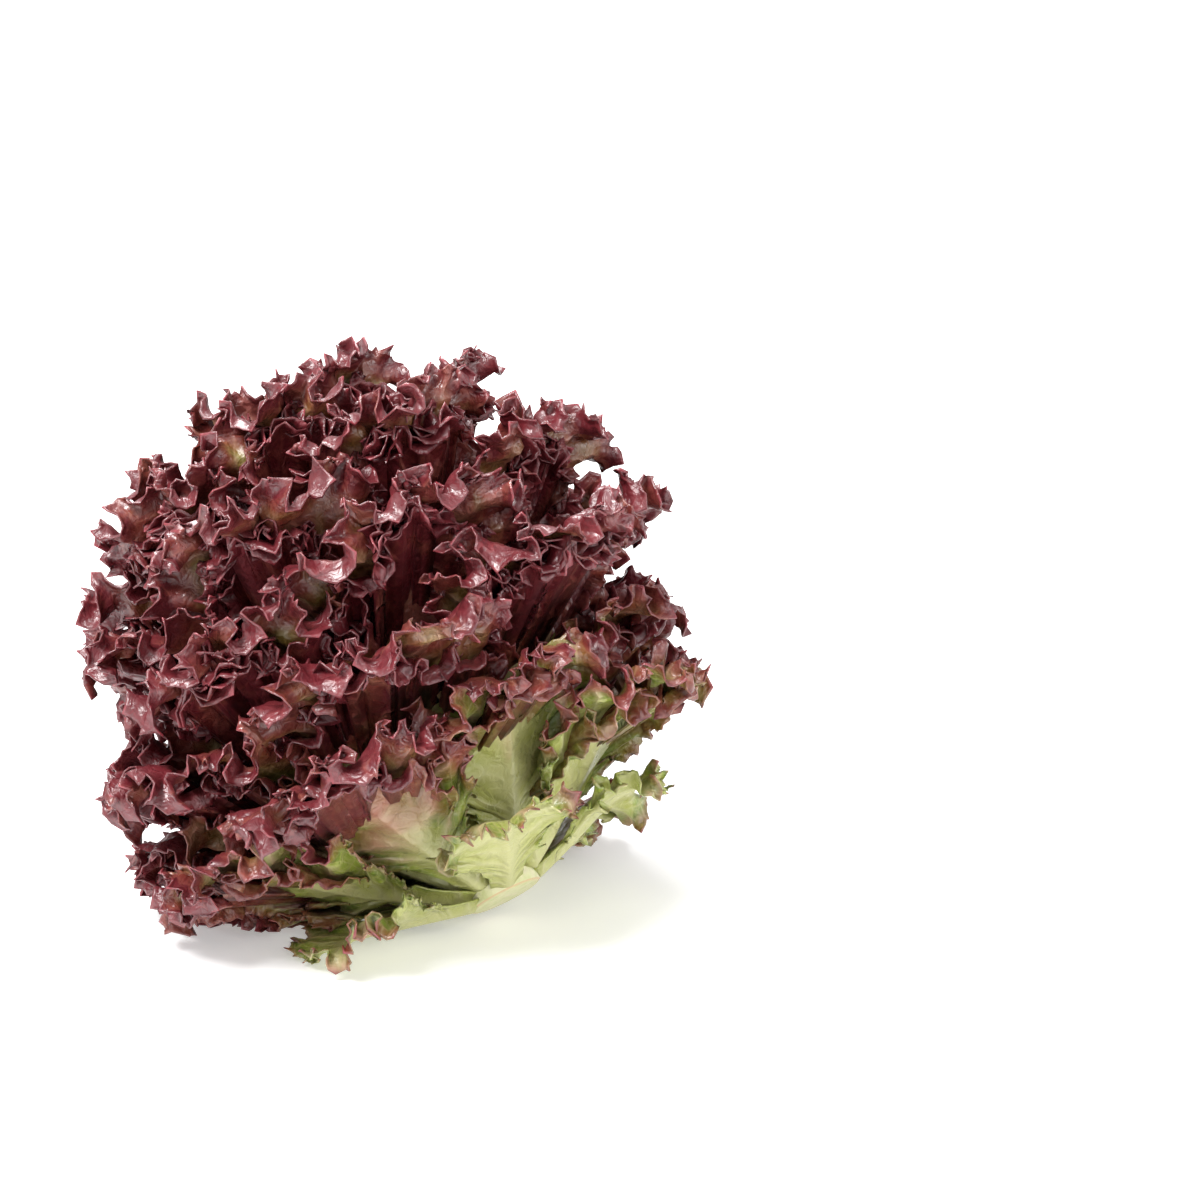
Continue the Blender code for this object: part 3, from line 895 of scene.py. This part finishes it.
def vein_lines(tree):
    """Veins from the midrib to the edge, finer branches between them, and the net of the finest."""
    side_turn = read_value(tree, "side_turn")
    reach = read_value(tree, "reach_share")
    breadth = read_value(tree, "breadth")
    wander = noise_node(tree, VEIN_WANDER_SIZE, detail=2.0)
    wander = math_node(tree, "MULTIPLY_ADD", wander, VEIN_WANDER, -0.5 * VEIN_WANDER)
    lines = []
    for count, slant, width, weight in (
        (VEINS_PER_SIDE, 0.0, MAIN_VEIN_WIDTH, 1.0),
        (BRANCHES_PER_SIDE, BRANCH_SLANT, BRANCH_WIDTH, BRANCH_WEIGHTS[0]),
        (BRANCHES_PER_SIDE, -BRANCH_SLANT, BRANCH_WIDTH, BRANCH_WEIGHTS[1]),
    ):
        place = math_node(tree, "MULTIPLY_ADD", side_turn, float(count), wander)
        place = math_node(tree, "ADD", place, math_node(tree, "MULTIPLY", reach, slant))
        away = math_node(tree, "SUBTRACT", math_node(tree, "FRACT", place), 0.5)
        away = math_node(tree, "ABSOLUTE", away)
        away = math_node(tree, "MULTIPLY", math_node(tree, "DIVIDE", away, float(count)), breadth)
        line = math_node(tree, "SUBTRACT", 1.0, math_node(tree, "DIVIDE", away, width))
        lines.append(math_node(tree, "MULTIPLY", math_node(tree, "MAXIMUM", line, 0.0), weight))
    where = node(tree, "ShaderNodeTexCoord").outputs["Object"]
    twist = node(tree, "ShaderNodeTexNoise")
    twist.inputs["Scale"].default_value = 1.0 / NET_TWIST_SIZE
    bend = node(tree, "ShaderNodeVectorMath", operation="MULTIPLY_ADD")
    bend.inputs[1].default_value = (NET_TWIST, NET_TWIST, NET_TWIST)
    net = node(tree, "ShaderNodeTexVoronoi", feature="DISTANCE_TO_EDGE")
    net.inputs["Scale"].default_value = 1.0 / NET_SIZE
    tree.links.new(where, twist.inputs["Vector"])
    tree.links.new(twist.outputs["Color"], bend.inputs[0])
    tree.links.new(where, bend.inputs[2])
    tree.links.new(bend.outputs[0], net.inputs["Vector"])
    thread = math_node(tree, "MULTIPLY_ADD", net.outputs["Distance"], -NET_SHARPNESS, 1.0)
    lines.append(math_node(tree, "MULTIPLY", math_node(tree, "MAXIMUM", thread, 0.0), NET_WEIGHT))
    raised = math_node(tree, "MAXIMUM", read_value(tree, "midrib"), lines[0])
    total = raised
    for line in lines[1:]:
        total = math_node(tree, "MAXIMUM", total, line)
    return total, raised


def add_bump(tree, height, depth):
    """Fine relief of the shader's normal, from a height of 0 to 1 and a depth in metres."""
    bump = node(tree, "ShaderNodeBump")
    bump.inputs["Strength"].default_value = BUMP_STRENGTH
    bump.inputs["Distance"].default_value = depth
    tree.links.new(height, bump.inputs["Height"])
    tree.links.new(bump.outputs["Normal"], tree.nodes["Principled BSDF"].inputs["Normal"])


def leaf_material():
    """Waxy leaf skin: pale green at the root, olive to maroon at the frill, with its veins and a
    brighter line painted along the edge for light through the thin margin.
    """
    material, tree, shader = new_material("lollo_leaf")
    mottled = noise_node(tree, MOTTLE_SIZE, detail=4.0, distortion=0.6)
    mottled = math_node(tree, "MULTIPLY_ADD", mottled, *MOTTLE)
    red = math_node(tree, "ADD", read_value(tree, "redness"), mottled)
    veins, raised = vein_lines(tree)
    between = math_node(tree, "SUBTRACT", 1.0, veins)
    between = math_node(tree, "MULTIPLY", between, read_value(tree, "reach_share"))
    skin = ramp(tree, math_node(tree, "MULTIPLY_ADD", between, BETWEEN_VEINS, red), SKIN_TONES)
    vein_tone = ramp(tree, red, VEIN_TONES)
    colour = mix_colour(tree, math_node(tree, "MULTIPLY", veins, VEIN_COVER), skin, vein_tone)
    # A brighter line painted along the edge, standing for light shining through the thin margin
    edge = math_node(tree, "MULTIPLY", read_value(tree, "margin"), EDGE_GLOW_COVER)
    colour = mix_colour(tree, edge, colour, ramp(tree, red, EDGE_GLOW_TONES))
    tree.links.new(colour, shader.inputs["Base Color"])
    rough = noise_node(tree, LEAF_SHEEN_SIZE, detail=2.0)
    rough = math_node(tree, "MULTIPLY_ADD", rough, *LEAF_ROUGHNESS)
    tree.links.new(rough, shader.inputs["Roughness"])
    shader.inputs["Specular IOR Level"].default_value = LEAF_SPECULAR
    wrinkles = noise_node(tree, LEAF_BUMP_SIZE, distortion=0.9)
    add_bump(tree, math_node(tree, "MULTIPLY_ADD", raised, VEIN_BUMP, wrinkles), LEAF_BUMP_DEPTH)
    return material


def stem_material():
    """Cream flesh with pale green streaks, and a peach line round the cut face."""
    material, tree, shader = new_material("lollo_stem")
    streaks = noise_node(tree, STEM_TONE_SIZE, detail=4.0, distortion=0.5)
    tone = ramp(tree, streaks, STEM_TONES)
    colour = mix_colour(tree, read_value(tree, "cut_rim"), tone, RIM_TONE)
    tree.links.new(colour, shader.inputs["Base Color"])
    shader.inputs["Roughness"].default_value = STEM_ROUGHNESS
    add_bump(tree, noise_node(tree, STEM_BUMP_SIZE, distortion=0.6), STEM_BUMP_DEPTH)
    return material


def stem_rows():
    """Radius, height and redness of the rim for each ring of the stump, from its top end down."""
    rows = []
    for step in range(STEM_ROWS + 1):
        angle = math.pi / 2 * step / STEM_ROWS
        rows.append((STEM_RADIUS * math.sin(angle), CORE_HEIGHT * math.cos(angle), 0.0))
    face = STEM_RADIUS - STEM_RIM
    rows.append((STEM_RADIUS - RIM_CORNER * STEM_RIM, -RIM_CORNER * STEM_CUT, 1.0))
    rows.append((face, -STEM_CUT, RIM_FADE))
    return rows + [(share * face, -STEM_CUT, 0.0) for share in CUT_FACE_SHARES]


def make_stem(shift):
    """The stump that every leaf grows from, a little fuller than its solid so the roots sink in."""
    place = Vector(shift) + Vector(CUT_CENTRE)
    mesh = bpy.data.meshes.new("stem_flesh")
    build = bmesh.new()
    rim_layer = build.verts.layers.float.new("cut_rim")
    rings = []
    for radius, height, rim in stem_rows():
        fluted = STEM_FLUTE * min(1.0, max(0.0, height / CORE_HEIGHT * STEM_FLUTE_RISE))
        ring = []
        for number in range(STEM_SIDES if radius > 0.0 else 1):
            angle = 2.0 * math.pi * number / STEM_SIDES
            uneven = 1.0 + fluted * math.sin(STEM_FLUTES * angle + STEM_FLUTE_TWIST * height)
            across = radius * uneven
            vert = build.verts.new(
                HEAD_TURN @ Vector((across * math.cos(angle), across * math.sin(angle), height)) + place
            )
            vert[rim_layer] = rim
            ring.append(vert)
        rings.append(ring)
    for upper, lower in zip(rings, rings[1:]):
        for number in range(STEM_SIDES):
            following = (number + 1) % STEM_SIDES
            if len(upper) == 1:
                build.faces.new((upper[0], lower[number], lower[following]))
            elif len(lower) == 1:
                build.faces.new((upper[number], lower[0], upper[following]))
            else:
                build.faces.new((upper[number], lower[number], lower[following], upper[following]))
    bmesh.ops.recalc_face_normals(build, faces=build.faces)
    build.to_mesh(mesh)
    build.free()
    mesh.shade_smooth()
    mesh.materials.append(stem_material())
    piece = bpy.data.objects.new("stem_flesh", mesh)
    bpy.context.scene.collection.objects.link(piece)
    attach(piece, "root")
    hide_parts("stem")


def core_profile():
    """Radius and height of the solid stem's rings, as the solids have them."""
    angles = np.linspace(0.0, math.pi / 2, CORE_POINTS)
    profile = [(CORE_RADIUS * math.sin(a), CORE_HEIGHT * math.cos(a)) for a in angles[:-1]]
    return profile + [(CORE_RADIUS, CORE_RIM), (CORE_RADIUS - CORE_RIM, 0.0), (0.0, 0.0)]


def head_shift():
    """How far the solids stand from the cut face's own frame, read from the stem's place."""
    points = []
    for step in range(CORE_STEPS):
        angle = 2.0 * math.pi * step / CORE_STEPS
        for radius, height in core_profile():
            ring_point = Vector((radius * math.cos(angle), radius * math.sin(angle), height))
            points.append(HEAD_TURN @ ring_point)
    low = np.array(points).min(axis=0)
    return np.array(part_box("stem")[0]) - low - CUT_CENTRE


def make_leaves(shift):
    """Every leaf's fine blade, in the place of its solid."""
    material = leaf_material()
    table = [(*row, HALF_ANGLE, OUTER_ROOT_HALF_WIDTH, OUTER_WAVE_ANGLE) for row in OUTER_LEAVES]
    table += [spiral_leaf(number) for number in range(SPIRAL_LEAVES)]
    for number, row in enumerate(table):
        leaf = Leaf(*row, seed=SEED + number)
        mesh = leaf_mesh(leaf, shift)
        mesh.materials.append(material)
        piece = bpy.data.objects.new(leaf.name + "_blade", mesh)
        bpy.context.scene.collection.objects.link(piece)
        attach(piece, "root")
        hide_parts(leaf.name)


def make_floor():
    """The pale surface that the head lies on."""
    bpy.ops.mesh.primitive_plane_add(size=FLOOR_SIZE, location=(0.0, 0.0, 0.0))
    floor = bpy.context.object
    floor.name = "floor"
    material, _, shader = new_material("floor_white")
    shader.inputs["Base Color"].default_value = FLOOR_TONE
    shader.inputs["Roughness"].default_value = FLOOR_ROUGHNESS
    shader.inputs["Emission Color"].default_value = WHITE
    shader.inputs["Emission Strength"].default_value = FLOOR_GLOW
    floor.data.materials.append(material)


def make_camera(butt):
    """The camera, at the photo's angle and scale, with the cut face where the photo has it."""
    rise = math.radians(CAMERA_RISE)
    up = Vector((0.0, math.sin(rise), math.cos(rise)))
    ahead = Vector((0.0, math.cos(rise), -math.sin(rise)))
    target = butt + Vector((1.0, 0.0, 0.0)) * CENTRE_RIGHT + up * CENTRE_UP
    data = bpy.data.cameras.new("camera")
    camera = bpy.data.objects.new("camera", data)
    bpy.context.scene.collection.objects.link(camera)
    data.sensor_width = SENSOR
    data.lens = SENSOR * CAMERA_DISTANCE / PICTURE_WIDTH
    data.clip_start, data.clip_end = CAMERA_RANGE
    data.dof.use_dof = False
    camera.location = target - ahead * CAMERA_DISTANCE
    camera.rotation_mode = "QUATERNION"
    camera.rotation_quaternion = ahead.to_track_quat("-Z", "Y")
    bpy.context.scene.camera = camera


def make_light(name, place, size, power):
    """A soft square lamp that points at the head."""
    data = bpy.data.lights.new(name, "AREA")
    data.shape = "SQUARE"
    data.size = size
    data.energy = power
    light = bpy.data.objects.new(name, data)
    bpy.context.scene.collection.objects.link(light)
    light.location = place
    light.rotation_mode = "QUATERNION"
    light.rotation_quaternion = (Vector(LIGHT_TARGET) - Vector(place)).to_track_quat("-Z", "Y")


def make_lights():
    """White surroundings and the lamps."""
    world = bpy.data.worlds.new("studio")
    world.use_nodes = True
    background = world.node_tree.nodes["Background"]
    background.inputs["Color"].default_value = WHITE
    background.inputs["Strength"].default_value = WORLD_LIGHT
    bpy.context.scene.world = world
    for name, (place, size, power) in LAMPS.items():
        make_light(name, place, size, power)


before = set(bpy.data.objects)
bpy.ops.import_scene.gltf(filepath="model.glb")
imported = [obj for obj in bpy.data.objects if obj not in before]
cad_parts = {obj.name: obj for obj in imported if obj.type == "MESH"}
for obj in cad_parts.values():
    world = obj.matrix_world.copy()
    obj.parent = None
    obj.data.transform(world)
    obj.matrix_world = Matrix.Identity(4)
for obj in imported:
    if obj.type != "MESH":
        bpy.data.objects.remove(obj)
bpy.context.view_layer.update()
bpy.context.scene.view_settings.view_transform = "Standard"
shift = head_shift()
make_leaves(shift)
make_stem(shift)
make_floor()
make_camera(Vector(shift) + Vector(CUT_CENTRE))
make_lights()
